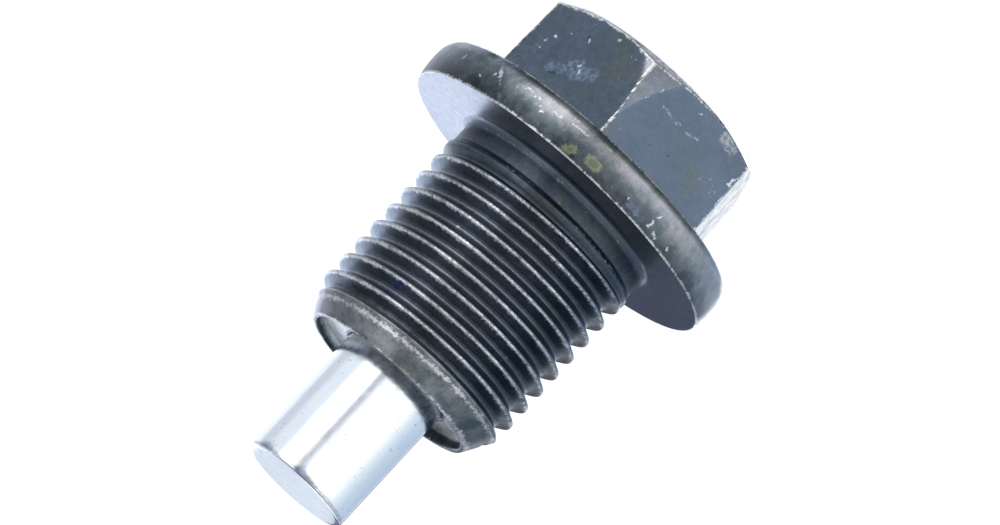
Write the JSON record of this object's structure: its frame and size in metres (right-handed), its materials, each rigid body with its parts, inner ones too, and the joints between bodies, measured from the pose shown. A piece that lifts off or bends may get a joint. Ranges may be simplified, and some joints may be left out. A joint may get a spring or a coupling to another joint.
{
  "type": "magnetic oil drain plug",
  "caption": "Magnetic oil drain plug: M16 x 1.5 threaded steel plug with a flanged hexagon head and a bar magnet standing out of its recessed tip.",
  "frame": {"origin": "centre of the flat end of the hexagon head, where the thread's axis meets it and the plug stands", "axes": "+Z along the thread's axis, from the head towards the magnet; the hexagon has flats towards +X and -X and a corner towards -Y"},
  "size_m": [0.0247, 0.0246, 0.0357],
  "materials": {
    "blackened_steel": "black oxide on forged and rolled steel, satin, with bright worn thread crests and edges",
    "plated_magnet": "bright nickel plating on a bar magnet, with small dark specks"
  },
  "bodies": {
    "root": {"plug_body": "blackened_steel", "magnet": "plated_magnet"}
  },
  "joints": []
}
